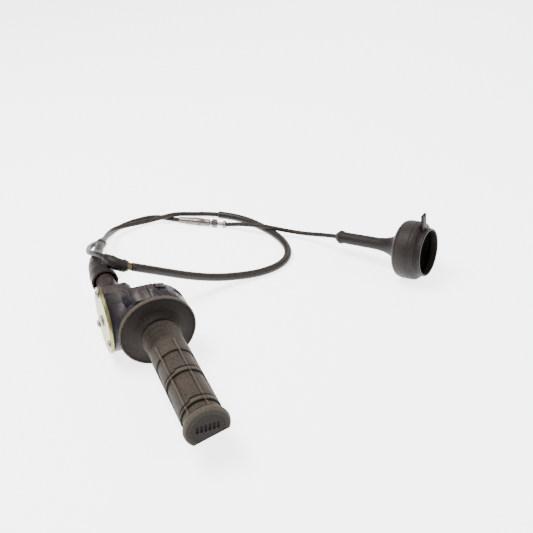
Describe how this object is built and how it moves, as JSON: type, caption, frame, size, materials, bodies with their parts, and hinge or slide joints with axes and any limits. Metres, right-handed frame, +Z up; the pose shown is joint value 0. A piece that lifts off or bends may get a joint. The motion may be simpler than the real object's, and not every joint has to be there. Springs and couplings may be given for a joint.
{
  "type": "motorcycle throttle grip",
  "caption": "Geared twist grip with flange, split clamp housing and gearbox, control cable with rubber boots and adjusters, and a drum-shaped carburettor boot at its far end.",
  "frame": {"origin": "on the surface the assembly lies on, under the middle of the grip and housing without the cable and what is on it", "axes": "+Y along the handlebar from the grip's end to the clamp housing, +Z up, gearbox on the -X side"},
  "size_m": [0.3356, 0.3704, 0.0709],
  "materials": {
    "grip_rubber": "worn, dusty, matt",
    "nylon": "moulded",
    "steel": "dull",
    "black_housing": "glossy under dust",
    "brass": "dull",
    "wire_steel": "stranded",
    "gasket": "fibre",
    "yellow_zinc": "yellow zinc plate",
    "boot_rubber": "matt",
    "cable_jacket": "semi-gloss, dusty",
    "sleeve": "semi-gloss",
    "silver_alloy": "tarnished"
  },
  "bodies": {
    "housing": {"thrust_washer": "steel", "housing_body": "black_housing", "clamp_half": "black_housing", "clamp_screw_upper": "steel", "clamp_screw_lower": "steel", "drum_axle": "steel", "cover_gasket": "gasket", "cover_plate": "yellow_zinc", "cover_screw_1": "steel", "cover_screw_2": "steel", "cover_screw_3": "steel", "neck_adjuster": "brass", "neck_lock_nut": "brass", "wire_in_neck": "wire_steel", "main_boot": "boot_rubber", "cable_front": "cable_jacket", "protective_sleeve": "sleeve", "inline_fitting": "brass", "inline_boot": "boot_rubber", "cable_middle": "cable_jacket", "barrel_body": "silver_alloy", "barrel_screw": "silver_alloy", "cable_rear": "cable_jacket", "carburettor_boot": "boot_rubber", "cable_end_fitting": "brass"},
    "twist_grip": {"grip_rubber": "grip_rubber", "throttle_tube": "nylon"},
    "drum": {"cable_drum": "nylon", "drum_nipple": "brass", "drum_wire": "wire_steel", "drum_washer": "steel"},
    "adjuster_nut": {"barrel_nut": "silver_alloy"},
    "wire_tip": {"wire_end": "wire_steel", "wire_end_nipple": "brass"}
  },
  "joints": [
    {"name": "twist", "type": "hinge", "parent": "housing", "child": "twist_grip", "pos_m": [0.00415, 0.0135, 0.0327], "axis": [0, -1, 0], "range_deg": [0, 72]},
    {"name": "drum_turn", "type": "hinge", "parent": "housing", "child": "drum", "pos_m": [0.00415, 0.0465, 0.0327], "axis": [1, 0, 0], "range_deg": [0, 88.5]},
    {"name": "wire_pull", "type": "slide", "parent": "housing", "child": "wire_tip", "axis": [-0.5501, 0.8248, -0.1305], "range_m": [0, 0.0248]},
    {"name": "adjuster_spin", "type": "hinge", "parent": "housing", "child": "adjuster_nut", "pos_m": [0.09275, 0.2387, 0.0045], "axis": [0.8218, -0.5698, 0], "continuous": true}
  ],
  "couplings": [
    {"joint": "drum_turn", "follows": "twist", "ratio": 1.2222},
    {"joint": "wire_pull", "follows": "twist", "m_per_rad": 0.019556}
  ]
}
